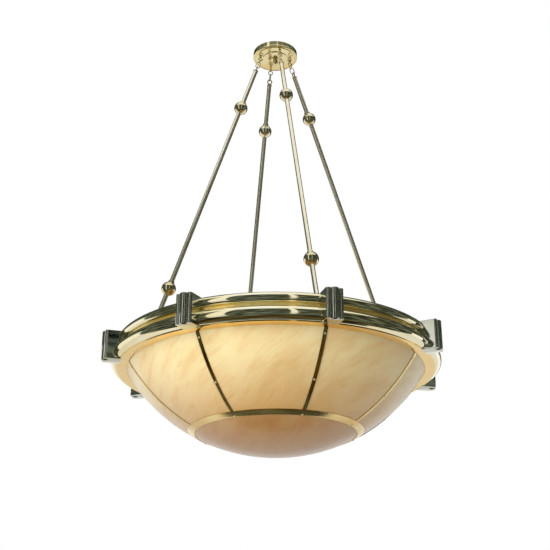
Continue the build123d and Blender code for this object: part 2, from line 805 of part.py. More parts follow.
# Tubular lamps that screw in from below
bulb_top = height(lamp_bar_rise - holder_floor - bulb_play)
bulb_base_length = holder_length - holder_floor - bulb_play + bulb_stand
for number, place in enumerate(lamp_positions, start=1):
    with BuildPart() as bulb:
        with BuildSketch(Plane((place, 0, bulb_top), x_dir=(1, 0, 0), z_dir=(0, -1, 0))):
            with BuildLine():
                Polyline(
                    (0, 0),
                    (bulb_base_radius, 0),
                    (bulb_base_radius, -bulb_base_length),
                    (bulb_radius, -bulb_base_length - bulb_shoulder),
                    (bulb_radius, -bulb_length + bulb_radius - bulb_tip_radius),
                    (bulb_tip_radius, -bulb_length),
                    (0, -bulb_length),
                    close=True,
                )
            make_face()
        revolve(axis=Axis((place, 0, 0), (0, 0, 1)))
    export(bulb.part, f"bulb_{number}")
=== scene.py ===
"""Looks of the alabaster bowl pendant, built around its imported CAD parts, in metres.

The sections follow the pendant as it is put together, from the ceiling down.
"""

import bmesh
import bpy
import numpy as np
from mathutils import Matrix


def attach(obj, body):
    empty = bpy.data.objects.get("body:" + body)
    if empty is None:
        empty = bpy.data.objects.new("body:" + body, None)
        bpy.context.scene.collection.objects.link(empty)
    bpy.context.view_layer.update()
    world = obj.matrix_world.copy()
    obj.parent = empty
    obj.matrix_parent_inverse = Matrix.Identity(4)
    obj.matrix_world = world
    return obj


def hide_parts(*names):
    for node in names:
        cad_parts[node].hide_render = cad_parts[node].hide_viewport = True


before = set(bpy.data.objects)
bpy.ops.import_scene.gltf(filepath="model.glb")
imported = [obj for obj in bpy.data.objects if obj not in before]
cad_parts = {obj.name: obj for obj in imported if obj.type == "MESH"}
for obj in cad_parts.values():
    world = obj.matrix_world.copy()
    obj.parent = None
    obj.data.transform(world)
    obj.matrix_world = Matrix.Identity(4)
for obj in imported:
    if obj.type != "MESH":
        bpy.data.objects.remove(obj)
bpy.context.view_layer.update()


# ---------------------------------------------------------------- canopy
# The cover at the ceiling is a round dish spun from thin brass sheet, with a bead round its edge.
# Its underside steps down twice towards the middle, and it is polished bright and lacquered.
def tone(red, green, blue):
    """Linear colour of a tone written as it looks, 0 to 255."""
    seen = np.array([red, green, blue]) / 255
    linear = np.where(seen <= 0.04045, seen / 12.92, ((seen + 0.055) / 1.055) ** 2.4)
    return (*linear.tolist(), 1.0)


def new_finish(name):
    """Material for one finish, with its node tree, its shader and the object's coordinates."""
    material = bpy.data.materials.new(name)
    material.use_nodes = True
    tree = material.node_tree
    place = tree.nodes.new("ShaderNodeTexCoord").outputs["Object"]
    return material, tree, tree.nodes["Principled BSDF"], place


def noise(tree, place, scale, detail=2.0, roughness=0.5, distortion=0.0):
    """Cloudy pattern from 0 to 1, with about this many clouds to the metre."""
    node = tree.nodes.new("ShaderNodeTexNoise")
    node.inputs["Scale"].default_value = scale
    node.inputs["Detail"].default_value = detail
    node.inputs["Roughness"].default_value = roughness
    node.inputs["Distortion"].default_value = distortion
    tree.links.new(place, node.inputs["Vector"])
    return node.outputs["Fac"]


def graded(tree, pattern, *stops):
    """Colour that runs from tone to tone. Each stop is a value of the pattern and its tone."""
    node = tree.nodes.new("ShaderNodeValToRGB")
    elements = node.color_ramp.elements
    for element, (value, colour) in zip(elements, (stops[0], stops[-1])):
        element.position = value
        element.color = colour
    for value, colour in stops[1:-1]:
        elements.new(value).color = colour
    tree.links.new(pattern, node.inputs["Fac"])
    return node.outputs["Color"]


def ranged(tree, value, span, result, curve="LINEAR"):
    """The value's share of the span, carried over to the result's two ends and held there."""
    node = tree.nodes.new("ShaderNodeMapRange")
    node.interpolation_type = curve
    for end, bound, given in zip(("Min", "Max"), span, result):
        node.inputs[f"From {end}"].default_value = bound
        node.inputs[f"To {end}"].default_value = given
    tree.links.new(value, node.inputs["Value"])
    return node.outputs["Result"]


def polished_brass(name, pale, deep, rough=0.07, ripple=0.05, ripple_scale=60.0, metal=1.0):
    """Polished brass: two near tones in broad clouds, uneven polish and a faint hand ripple. A
    dulled lacquer scatters some light, as metal below 1 does."""
    material, tree, shader, place = new_finish(name)
    shader.inputs["Metallic"].default_value = metal
    clouds = noise(tree, place, 9.0, detail=5.0)
    tree.links.new(graded(tree, clouds, (0.35, deep), (0.65, pale)), shader.inputs["Base Color"])
    wipes = noise(tree, place, 35.0, detail=8.0)
    polish = ranged(tree, wipes, (0.3, 0.8), (rough, rough + 0.06))
    tree.links.new(polish, shader.inputs["Roughness"])
    bump = tree.nodes.new("ShaderNodeBump")
    bump.inputs["Strength"].default_value = ripple
    bump.inputs["Distance"].default_value = 0.002
    tree.links.new(noise(tree, place, ripple_scale, detail=1.0), bump.inputs["Height"])
    tree.links.new(bump.outputs["Normal"], shader.inputs["Normal"])
    return material


def arc(middle, level, radius, turn):
    """Part of a circle in a profile: from the circle's middle and level, the radius times the
    cosine of each turn outwards and times its sine upwards."""
    return np.stack([middle + radius * np.cos(turn), level + radius * np.sin(turn)], -1)


def rounded(corners, radius, steps=5):
    """Profile with its inner corners eased: each corner becomes a quadratic curve between the
    places one radius before and after it, or halfway to the next corner if that is nearer."""
    corners = np.array(corners, float)
    t = np.linspace(0, 1, steps)[:, None]
    out = [corners[:1]]
    for before, corner, after in zip(corners, corners[1:], corners[2:]):
        to_before, to_after = before - corner, after - corner
        back, on = np.linalg.norm(to_before), np.linalg.norm(to_after)
        start = corner + to_before * min(radius / back, 0.49)
        end = corner + to_after * min(radius / on, 0.49)
        out.append((1 - t) ** 2 * start + 2 * t * (1 - t) * corner + t**2 * end)
    return np.vstack([*out, corners[-1:]])


def turned(profile, steps, origin=(0, 0, 0), axis=(0, 0, 1)):
    """Lathe surface: each (radius, height) of the profile is carried once round an axis that
    starts at the origin. Rows go round the axis, and columns follow the profile."""
    axis = np.array(axis, float) / np.linalg.norm(axis)
    side = np.cross(axis, (0, 1, 0) if abs(axis[1]) < 0.9 else (1, 0, 0))
    side /= np.linalg.norm(side)
    other = np.cross(axis, side)
    turn = np.linspace(0, 2 * np.pi, steps, endpoint=False)[:, None, None]
    radius, height = np.array(profile, float).T[:, None, :, None]
    return np.array(origin) + height * axis + radius * (np.cos(turn) * side + np.sin(turn) * other)


def grid_quads(index):
    """Corners of every quad in a grid of point numbers."""
    corners = index[:-1, :-1], index[1:, :-1], index[1:, 1:], index[:-1, 1:]
    return np.stack(corners, -1).reshape(-1, 4)


def piece(name, body, grids, material, replaced=(), round_rows=True, round_columns=False):
    """Mesh from grids of points, each row joined to the next by quads. round_rows joins the
    last row to the first, round_columns the last column to the first, and every grid closes to
    a block. A block whose volume, the sum of its faces' dot(a, cross(b, c)) about its middle,
    comes out negative is turned right side out. Points that meet are merged."""
    points, faces, base = [], [], 0
    for grid in grids:
        rows, columns = grid.shape[:2]
        index = np.arange(rows * columns).reshape(rows, columns)
        if round_rows:
            index = np.vstack([index, index[:1]])
        if round_columns:
            index = np.hstack([index, index[:, :1]])
        quads = grid_quads(index)
        spots = grid.reshape(-1, 3)
        a, b, c, d = (spots - spots.mean(0))[quads].transpose(1, 0, 2)
        volume = (a * (np.cross(b, c) + np.cross(c, d))).sum()
        faces.append(base + (quads if volume > 0 else quads[:, ::-1]))
        points.append(spots)
        base += rows * columns
    mesh = bpy.data.meshes.new(name)
    mesh.from_pydata(np.vstack(points).tolist(), [], np.vstack(faces).tolist())
    shape = bmesh.new()
    shape.from_mesh(mesh)
    bmesh.ops.remove_doubles(shape, verts=shape.verts, dist=1e-6)
    bmesh.ops.dissolve_degenerate(shape, edges=shape.edges, dist=1e-7)
    shape.to_mesh(mesh)
    shape.free()
    mesh.shade_smooth()
    mesh.set_sharp_from_angle(angle=np.radians(38))
    made = bpy.data.objects.new(name, mesh)
    bpy.context.collection.objects.link(made)
    mesh.materials.append(material)
    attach(made, body)
    if replaced:
        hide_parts(*replaced)
    return made


canopy_brass = polished_brass(
    "canopy_brass", tone(252, 238, 188), tone(240, 216, 150), rough=0.12, ripple=0.1
)
sheet = 0.0015
step_drop = 0.003
outer_step, inner_step = 0.060, 0.040
nipple_hole = 0.005
canopy_foot = -0.016
canopy_bottom = canopy_foot - 2 * step_drop
wall_outside, wall_inside = 0.0674, 0.0665
canopy_wall = [(wall_outside, 0.0), (wall_outside, -0.0130), (wall_outside, -0.0136)]
bead = arc(0.0655, -0.0152, 0.0025, np.linspace(0.15 * np.pi, -np.pi, 16))
canopy_steps = [
    (outer_step + step_drop, canopy_foot),
    (outer_step, canopy_foot),
    (outer_step, canopy_foot - step_drop),
    (inner_step, canopy_foot - step_drop),
    (inner_step, canopy_bottom),
    (nipple_hole, canopy_bottom),
]
canopy_inside = [
    (nipple_hole, canopy_bottom + sheet),
    (inner_step - sheet, canopy_bottom + sheet),
    (inner_step - sheet, canopy_foot - step_drop + sheet),
    (outer_step - sheet, canopy_foot - step_drop + sheet),
    (outer_step - sheet, canopy_foot + sheet),
    (wall_inside, canopy_foot + sheet),
    (wall_inside, 0.0),
]
canopy_profile = np.vstack(
    [canopy_wall, bead, rounded(canopy_steps, 0.0014), rounded(canopy_inside, 0.001)]
)
piece(
    "canopy_dish", "canopy", [turned(canopy_profile, 160)], canopy_brass, ["canopy"],
    round_columns=True,
)


# ---------------------------------------------------------------- fixing inside the canopy
# A zinc-plated crossbar screws to the ceiling box. A threaded nipple with two nuts hangs the
# plate that carries the four eyes. The clips' screws and the cage in the bowl are plated too.
def plated_steel(name):
    """Zinc plate on steel: cool grey with fine rolling lines and a soft shine."""
    material, tree, shader, place = new_finish(name)
    shader.inputs["Metallic"].default_value = 1.0
    stretch = tree.nodes.new("ShaderNodeMapping")
    stretch.inputs["Scale"].default_value = (6.0, 160.0, 160.0)
    tree.links.new(place, stretch.inputs["Vector"])
    lines = noise(tree, stretch.outputs["Vector"], 4.0, detail=6.0)
    greys = graded(tree, lines, (0.0, tone(150, 152, 152)), (1.0, tone(202, 203, 200)))
    tree.links.new(greys, shader.inputs["Base Color"])
    tree.links.new(ranged(tree, lines, (0.0, 1.0), (0.25, 0.42)), shader.inputs["Roughness"])
    return material


steel = plated_steel("zinc_plate")
for hidden in ("crossbar", "nipple", "lock_nuts", "hanger_plate", "clip_screws", "inner_frame"):
    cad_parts[hidden].material_slots[0].material = steel

# ---------------------------------------------------------------- cap nut
# The finial nut under the canopy is turned from brass bar: a flange, a waist and a round knob.
# It screws onto the nipple's end and holds the canopy up against the ceiling.
nut_top = canopy_bottom - 0.0002
knob_radius, knob_level = 0.009, -0.031
nut_neck = [
    (0.0, nut_top),
    (0.013, nut_top),
    (0.013, canopy_bottom - 0.0025),
    (0.0085, canopy_bottom - 0.0032),
    (0.0085, knob_level),
]
knob = arc(0.0, knob_level, knob_radius, np.linspace(0, -np.pi / 2, 14))
nut_profile = np.vstack([rounded(nut_neck, 0.0007), knob])
piece("finial_nut", "cap_nut", [turned(nut_profile, 64)], canopy_brass, ["cap_nut"])


# ---------------------------------------------------------------- canopy eyes
# Four brass screw eyes pass through the canopy, each with a small turned collar under it. Their
# wire is round, and their rings stand in the upright planes of the rods.
def bent_wire(path, across, radius, sides=16):
    """Round wire along a closed flat path: at each point a circle stands square to the path,
    spanned by the path's own sideways direction and by the direction across its plane."""
    across = np.array(across, float)
    along = np.roll(path, -1, 0) - np.roll(path, 1, 0)
    along /= np.linalg.norm(along, axis=1, keepdims=True)
    sideways = np.cross(along, across)
    turn = np.linspace(0, 2 * np.pi, sides, endpoint=False)[None, :, None]
    return path[:, None] + radius * (np.cos(turn) * sideways[:, None] + np.sin(turn) * across)


def flat_loop(centre, long_way, short_way, half_straight, bend, steps=40):
    """Path of a long loop: two half circles of this bend joined by straight sides."""
    turn = np.linspace(0, 2 * np.pi, steps, endpoint=False)[:, None]
    reach = bend * np.cos(turn) + half_straight * np.sign(np.cos(turn))
    return np.array(centre) + reach * long_way + bend * np.sin(turn) * short_way


def outward_and_level(bearing):
    """Unit vectors at a bearing: straight out from the pendant's axis, and level across that."""
    outward = np.array([np.cos(bearing), np.sin(bearing), 0.0])
    return outward, np.array([-np.sin(bearing), np.cos(bearing), 0.0])


flange = -1.043  # underside of the ring's flange
rod_bearings = np.radians([-90.0, 0.0, 90.0, 180.0])
rod_top_radius, rod_top_level = 0.0595, -0.066  # the upper eye of each rod
rod_foot_radius, rod_foot_level = 0.3666, flange + 0.0266  # the hole of each lug
rod_drop = rod_top_level - rod_foot_level
rod_slope = np.arctan((rod_foot_radius - rod_top_radius) / rod_drop)
eye_level = -0.0295
eye_radius = rod_top_radius - (eye_level - rod_top_level) * np.tan(rod_slope)
up = np.array([0.0, 0.0, 1.0])
shank_profile = rounded(
    [(0.0, -0.0135), (0.003, -0.0135), (0.003, -0.019), (0.0052, -0.0192), (0.0052, -0.0212),
     (0.0028, -0.0216), (0.0024, -0.0235), (0.0, -0.0242)],
    0.0006,
)
eye_rings = []
shanks = []
for bearing in rod_bearings:
    outward, level = outward_and_level(bearing)
    eye_path = flat_loop(eye_radius * outward + eye_level * up, up, outward, 0.0, 0.0055)
    eye_rings.append(bent_wire(eye_path, level, 0.00155))
    shanks.append(turned(shank_profile, 32, origin=eye_radius * outward))
piece(
    "screw_eye_rings", "canopy", eye_rings, canopy_brass, ["canopy_eyes"],
    round_columns=True,
)
piece("screw_eye_shanks", "canopy", shanks, canopy_brass)


# ---------------------------------------------------------------- rings and links
# A round brass ring hangs in each eye and a long link in each ring, a quarter turn from it.
# Another long link joins the foot of each rod to the lug inside the ring.
def on_rod(bearing, distance):
    """Point this far down a rod's line from the centre of its upper eye, and the directions
    down the rod, level across it and square to both."""
    outward, level = outward_and_level(bearing)
    down = outward * np.sin(rod_slope) - up * np.cos(rod_slope)
    start = rod_top_radius * outward + rod_top_level * up
    return start + distance * down, down, level, np.cross(down, level)


link_brass = polished_brass("link_brass", tone(246, 236, 214), tone(232, 212, 170), ripple=0.0)
bar_half = 0.00125  # of the CAD's square bar, which the round wire stands for
wire_radius = 0.0013
play = 0.0005
canopy_eye_hole, rod_eye_hole = 0.004, 0.0048
ring_bend, link_bend = 0.00675, 0.00625
foot_link_pitch = 0.020  # between the middles of its ends
slope_cosine = np.cos(rod_slope)
ring_top = (rod_top_level - eye_level) / slope_cosine + canopy_eye_hole - bar_half - play
link_top = ring_top + 2 * ring_bend - 2 * bar_half - play
link_bottom = bar_half + play - rod_eye_hole
lug_place = rod_drop / slope_cosine
foot_eye = lug_place - foot_link_pitch + link_bottom
for number, bearing in enumerate(rod_bearings, start=1):
    centre, down, level, square = on_rod(bearing, ring_top + ring_bend)
    loop = flat_loop(centre, down, level, 0.0, ring_bend)
    piece(
        f"chain_ring_{number}", f"hanger_{number}", [bent_wire(loop, square, wire_radius)],
        link_brass, [f"top_ring_{number}"], round_columns=True,
    )
    centre, down, level, square = on_rod(bearing, (link_top + link_bottom) / 2)
    loop = flat_loop(centre, down, square, (link_bottom - link_top) / 2 - link_bend, link_bend)
    piece(
        f"chain_link_{number}", f"hanger_{number}", [bent_wire(loop, level, wire_radius)],
        link_brass, [f"top_link_{number}"], round_columns=True,
    )
    centre, down, level, square = on_rod(bearing, lug_place - foot_link_pitch / 2)
    loop = flat_loop(centre, down, level, foot_link_pitch / 2 - link_bend, link_bend)
    piece(
        f"foot_link_{number}", "ring_link_1" if number == 1 else f"rod_{number}",
        [bent_wire(loop, square, wire_radius)], link_brass, [f"ring_link_{number}"],
        round_columns=True,
    )


# ---------------------------------------------------------------- rods and balls
# Each rod is three lengths of half-inch brass tube that screw into two turned balls with a
# collar on top. An eye on a turned collar closes each end.
def collar_profile(side):
    """Turned collar between the eye and the tube: a waist, a bead and a shoulder."""
    reach = np.array([0.0066, 0.0066, 0.0078, 0.0092, 0.0108, 0.0122, 0.0135, 0.0135])
    radius = np.array([0.0, 0.0030, 0.0052, 0.0074, 0.0076, 0.0070, 0.0066, 0.0])
    return np.stack([radius, side * reach], -1)


rod_brass = polished_brass(
    "rod_brass", tone(244, 238, 216), tone(230, 218, 184), rough=0.13, ripple=0.0, metal=0.95
)
ball_brass = polished_brass(
    "ball_brass", tone(244, 238, 212), tone(228, 214, 170), rough=0.05, ripple=0.0
)
tube_radius, tube_bore = 0.00635, 0.0048
ball_radius = 0.020
ball_hole = 0.0062  # what a tube screws into
neck_radius, neck_top = 0.0086, -0.024
ball_depths = np.array([0.2177, 0.8265])  # below the ceiling
ball_places = (rod_top_level + ball_depths) / slope_cosine
tube_seat = 0.018  # from a ball's middle to the tubes' ends
end_gap = 0.0135  # from the middle of an eye to the tube
stops = [end_gap, ball_places[0] - tube_seat, ball_places[0] + tube_seat]
stops += [ball_places[1] - tube_seat, ball_places[1] + tube_seat, foot_eye - end_gap]
# The ball is a circle broken by the small hole below and by the neck above. Heights run down.
ball_turn = np.linspace(
    np.arccos(ball_hole / ball_radius), -np.arccos(neck_radius / ball_radius), 40
)
ball_neck = [
    (neck_radius, -0.0182), (neck_radius, neck_top), (ball_hole, neck_top), (ball_hole, 0.0195)
]
ball_profile = np.vstack([arc(0.0, 0.0, ball_radius, ball_turn), rounded(ball_neck, 0.0008)])
for number, bearing in enumerate(rod_bearings, start=1):
    body = f"rod_{number}"
    tubes, eyes, collars, balls = [], [], [], []
    for start, stop in zip(stops[0::2], stops[1::2]):
        origin, down, level, square = on_rod(bearing, start)
        length = stop - start
        tube = [(tube_bore, 0), (tube_radius, 0), (tube_radius, length), (tube_bore, length)]
        tubes.append(turned(tube, 40, origin, down))
    for place in ball_places:
        origin, down, level, square = on_rod(bearing, place)
        balls.append(turned(ball_profile, 64, origin, down))
    for place, side in ((0.0, 1), (foot_eye, -1)):
        origin, down, level, square = on_rod(bearing, place)
        across, flat = (square, level) if side > 0 else (level, square)
        eyes.append(bent_wire(flat_loop(origin, down, flat, 0.0, 0.00665), across, 0.00185))
        collars.append(turned(collar_profile(side), 40, origin, down))
    piece(
        f"rod_tube_{number}", body, tubes, rod_brass, [f"rod_tubes_{number}"],
        round_columns=True,
    )
    piece(
        f"rod_ball_{number}", body, balls, ball_brass, [f"rod_balls_{number}"],
        round_columns=True,
    )
    piece(
        f"rod_end_eye_{number}", body, eyes, link_brass, [f"rod_eyes_{number}"],
        round_columns=True,
    )
    piece(f"rod_end_collar_{number}", body, collars, link_brass)


# ---------------------------------------------------------------- ring
# The ring is a rolled brass wall with a flat flange under it, through which the stone's rim
# passes, and two half-round mouldings round the outside, the lower one larger.
def half_round(centre, level, radius, wall=0.0015):
    """Half-round moulding: an arc that runs past its widest place and back to the ring's wall
    above and below, with a second arc inside it for the metal's thickness."""
    outer_reach = np.arccos((wall_outer - centre) / radius)
    inner_reach = np.arccos((wall_outer - centre) / (radius - wall))
    outside = arc(centre, level, radius, np.linspace(-outer_reach, outer_reach, 48))
    inside = arc(centre, level, radius - wall, np.linspace(inner_reach, -inner_reach, 24))
    return np.vstack([outside, inside])


wall_inner, wall_outer = 0.422, 0.425
wall_top = flange + 0.070
flange_inner, flange_outer = 0.4025, 0.430
flange_top = flange + 0.002
flange_profile = rounded(
    [(0.410, flange_top), (flange_inner, flange + 0.0018), (flange_inner, flange),
     (flange_outer, flange), (flange_outer, flange_top), (0.410, flange_top)],
    0.0006,
)
flange_brass = polished_brass(
    "flange_brass", tone(250, 216, 142), tone(244, 206, 126), rough=0.08, ripple=0.02
)
piece(
    "ring_flange_plate", "ring", [turned(flange_profile, 256)], flange_brass,
    ["ring_flange"], round_columns=True,
)
wall_middle = (wall_inner + wall_outer) / 2
wall_profile = rounded(
    [(wall_middle, flange_top), (wall_inner, flange_top), (wall_inner, wall_top),
     (wall_outer, wall_top), (wall_outer, flange_top), (wall_middle, flange_top)],
    0.0005,
)
# The band between the mouldings has a deeper gold than the rolls' brass: painted reflection of
# light bounced between the mouldings.
wall_brass_painted_reflection = polished_brass(
    "wall_brass_painted_reflection", tone(244, 218, 134), tone(226, 190, 98), rough=0.25, ripple=0.0, metal=0.7
)
piece(
    "ring_wall_band", "ring", [turned(wall_profile, 256)], wall_brass_painted_reflection, ["ring_wall"],
    round_columns=True,
)
ring_brass = polished_brass(
    "ring_brass", tone(248, 242, 214), tone(240, 226, 176), rough=0.05, ripple=0.09,
    ripple_scale=14.0,
)
lower_radius, lower_centre = 0.018, 0.429
upper_radius, upper_centre = 0.014, 0.422
band_height = 0.0095  # of the wall between the mouldings
lower_half_height = np.sqrt(lower_radius**2 - (lower_centre - wall_outer) ** 2)
upper_half_height = np.sqrt(upper_radius**2 - (upper_centre - wall_outer) ** 2)
lower_level = flange + 0.0201  # the moulding stands on the flange, with a solder gap
upper_level = lower_level + lower_half_height + band_height + upper_half_height
ring_top_level = upper_level + upper_radius
piece(
    "lower_half_round", "ring",
    [turned(half_round(lower_centre, lower_level, lower_radius), 320)],
    ring_brass, ["lower_roll"], round_columns=True,
)
piece(
    "upper_half_round", "ring",
    [turned(half_round(upper_centre, upper_level, upper_radius), 320)],
    ring_brass, ["upper_roll"], round_columns=True,
)


# ---------------------------------------------------------------- clips and lugs
# Eight cast clips sit over both mouldings and are screwed on from inside the ring. Each is a
# flat-sided block with three upright reeds in front. The middle reed is the largest and has a
# domed end below.
def clip_outline(steps=18):
    """Plan of a clip, pointing along x: flat back and sides, then arcs of the three reeds that
    meet where their circles cross."""
    small, large = 0.006, 0.0105
    side_x, side_y = 0.464, 0.016
    gap = np.hypot(main_reed_x - side_x, side_y)
    along = (large**2 - small**2 + gap**2) / (2 * gap)
    lean = np.arctan2(side_y, side_x - main_reed_x)
    main_end = lean - np.arccos(along / large)
    side_start = lean + np.pi + np.arccos((gap - along) / small)
    upper = arc(side_x, side_y, small, np.linspace(np.pi / 2, side_start - 2 * np.pi, steps))
    front = arc(main_reed_x, 0.0, large, np.linspace(main_end, -main_end, 2 * steps))
    back_x, front_x = 0.4255, 0.4634
    corners = np.array([[back_x, side_y + small], [front_x, side_y + small]])
    flip = np.array([1.0, -1.0])
    return np.vstack(
        [corners, upper, front[1:-1], (upper * flip)[::-1], (corners * flip)[::-1]]
    )


def clip_block(bearing, bottom, top, ease=0.0009, half_width=0.020, middle_x=0.448):
    """The outline carried upwards. At both ends it shrinks towards the clip's middle, first
    along a quarter circle for the eased edge and then to a point that closes the end."""
    turn = np.linspace(0, np.pi / 2, 4)
    shrink = np.concatenate([[1], ease / half_width * (1 - np.sin(turn))])
    rise = np.concatenate([[0], ease * (1 - np.cos(turn))])
    shrink = np.concatenate([shrink, shrink[::-1]])[:, None]
    level = np.concatenate([bottom + rise, (top - rise)[::-1]])[:, None]
    x, y = clip_outline().T[:, None]
    x, y = x + (middle_x - x) * shrink, y * (1 - shrink)
    cosine, sine = np.cos(bearing), np.sin(bearing)
    return np.stack([x * cosine - y * sine, x * sine + y * cosine, level + 0 * x], -1)


main_reed_x = 0.465
clip_bearings = np.radians(45.0 * np.arange(8))
# The clips' brass is toned darker and greyer than the ring's: painted shade for the dark
# reflection on their fronts.
clip_brass_painted_dark = polished_brass(
    "clip_brass_painted_dark", tone(214, 216, 206), tone(192, 190, 168), rough=0.05, ripple=0.02
)
clip_bottom, clip_top = flange - 0.001, ring_top_level + 0.0012
blocks = [clip_block(bearing, clip_bottom, clip_top) for bearing in clip_bearings]
piece(
    "clip_blocks", "ring", blocks, clip_brass_painted_dark, ["ring_clips"],
    round_rows=False, round_columns=True,
)
dome_radius, dome_drop, dome_root = 0.0096, 0.0035, 0.002
dome_turn = np.linspace(0, np.pi / 2, 10)
dome = np.stack(
    [dome_radius * np.cos(dome_turn), clip_bottom - dome_drop * np.sin(dome_turn)], -1
)
dome_head = [(0.0, clip_bottom + dome_root), (dome_radius, clip_bottom + dome_root)]
domes = []
for bearing in clip_bearings:
    outward, level = outward_and_level(bearing)
    domes.append(turned(np.vstack([dome_head, dome]), 40, origin=main_reed_x * outward))
piece("clip_reed_ends", "ring", domes, clip_brass_painted_dark)
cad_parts["ring_lugs"].material_slots[0].material = ring_brass


# ---------------------------------------------------------------- alabaster bowl
# Eight side panels and a round dish of alabaster, shaped to one sphere and polished. The stone
# is cream to amber with soft diagonal veins, and light goes a little way into it. Towards the
# foot its colour is darkened by painted shade.
def tinted(tree, way, share, ground, tint):
    """The ground colour with this share of the tint, either mixed in or multiplied."""
    node = tree.nodes.new("ShaderNodeMix")
    node.data_type = "RGBA"
    node.blend_type = way
    node.inputs["B"].default_value = tint
    tree.links.new(share, node.inputs["Factor"])
    tree.links.new(ground, node.inputs["A"])
    return node.outputs["Result"]


def alabaster_stone(name, shift, foot):
    """Alabaster: cream ground, broad amber clouds and warped diagonal veins, all deeper towards
    the foot of the bowl, where the colour is multiplied by the foot tone: painted shade for the
    underside that faces away from the light. The shift in metres takes each pane from another
    place in the block."""
    material, tree, shader, place = new_finish(name)
    shader.inputs["Roughness"].default_value = 0.3
    shader.inputs["Coat Weight"].default_value = 0.2
    shader.inputs["Coat Roughness"].default_value = 0.08
    shader.inputs["Subsurface Weight"].default_value = 0.2
    shader.inputs["Subsurface Radius"].default_value = (0.012, 0.010, 0.007)
    shader.inputs["Subsurface Scale"].default_value = 0.5
    lean = tree.nodes.new("ShaderNodeMapping")
    lean.vector_type = "TEXTURE"
    lean.inputs["Location"].default_value = shift
    lean.inputs["Rotation"].default_value = (0.21, 2.6, 0.0)
    lean.inputs["Scale"].default_value = (1.0, 1.0, 0.22)
    tree.links.new(place, lean.inputs["Vector"])
    block = lean.outputs["Vector"]
    clouds = noise(tree, block, 2.8, detail=5.0, distortion=0.6)
    cream, honey, amber = tone(251, 232, 180), tone(247, 224, 166), tone(234, 200, 136)
    ground = graded(tree, clouds, (0.32, cream), (0.52, honey), (0.72, amber))
    veins = noise(tree, block, 13.0, detail=7.0, roughness=0.62, distortion=0.5)
    vein_share = ranged(tree, veins, (0.46, 0.76), (0.0, 0.5))
    veined = tinted(tree, "MIX", vein_share, ground, tone(230, 178, 104))
    # Painted shade: lower down, the colour is multiplied towards the foot tone, darker where the
    # bowl faces down, away from the light.
    split = tree.nodes.new("ShaderNodeSeparateXYZ")
    tree.links.new(place, split.inputs["Vector"])
    depths = (flange - 0.04, flange - 0.21)
    painted_shade_share = ranged(tree, split.outputs["Z"], depths, (0.0, 0.9), curve="SMOOTHSTEP")
    painted_shade_colour = tinted(tree, "MULTIPLY", painted_shade_share, veined, foot)
    tree.links.new(painted_shade_colour, shader.inputs["Base Color"])
    return material


def on_bowl(ball, dip, bearing, across=0.0):
    """Points on a sphere about the bowl's centre: dip is the angle below the level of the
    centre, and across moves the point sideways at the same height, square to the bearing."""
    reach = ball * np.cos(dip)
    forward = np.sqrt(np.maximum(reach**2 - np.square(across), 0))
    x = forward * np.cos(bearing) - across * np.sin(bearing)
    y = forward * np.sin(bearing) + across * np.cos(bearing)
    return np.stack([x, y, sphere_level - ball * np.sin(dip) + 0 * x], -1)


def slab(outer, inner):
    """Closed block between two like grids of points. Each row runs along the outer face and
    back along the inner one, and the two end rows shrink to the line halfway between them."""
    rows = np.hstack([outer, inner[:, ::-1]])
    halfway = (rows + rows[:, ::-1]) / 2
    return np.vstack([halfway[:1], rows, halfway[-1:]])


rim_radius, bowl_depth = 0.402, 0.217
dish_radius = 0.219
stone_thickness = 0.006
joint_half = 0.0017
stone_rise = 0.008  # how far the stone stands up inside the ring
sphere_radius = (rim_radius**2 + bowl_depth**2) / (2 * bowl_depth)
sphere_level = flange + sphere_radius - bowl_depth
stone_inner = sphere_radius - stone_thickness
joint_half_angle = joint_half / sphere_radius
dish_dip = np.arccos(dish_radius / sphere_radius)
top_dip = np.arcsin((sphere_level - flange - stone_rise) / sphere_radius)
panel_dips = np.linspace(dish_dip - joint_half_angle, top_dip, 48)[None]
panel_half_turn = np.radians(22.5)
share = np.linspace(-1, 1, 48)[:, None]
for number, bearing in enumerate(clip_bearings + panel_half_turn - np.pi, start=1):
    faces = []
    for ball in (sphere_radius, stone_inner):
        half = panel_half_turn - np.arcsin(joint_half / (ball * np.cos(panel_dips)))
        faces.append(on_bowl(ball, panel_dips, bearing + share * half))
    # The last tone is the painted shade towards the foot of the panels.
    panel_stone = alabaster_stone(
        f"panel_alabaster_{number}", (0.37 * number, 0.0, 0.21 * number), tone(228, 188, 138)
    )
    piece(
        f"stone_panel_{number}", "ring", [slab(*faces)], panel_stone,
        [f"side_panel_{number}"], round_rows=False, round_columns=True,
    )
dish_turn = np.linspace(-np.pi / 2, -dish_dip - joint_half_angle, 56)
dish_outer = arc(0.0, sphere_level, sphere_radius, dish_turn)
dish_inner = arc(0.0, sphere_level, stone_inner, dish_turn)
dish = turned(np.vstack([dish_outer, dish_inner[::-1]]), 192)
# The dish's deeper foot tone is painted shade under the bowl.
dish_stone = alabaster_stone("dish_alabaster", (0.0, 0.0, 0.0), tone(202, 156, 106))
piece("stone_dish", "ring", [dish], dish_stone, ["bottom_dish"])

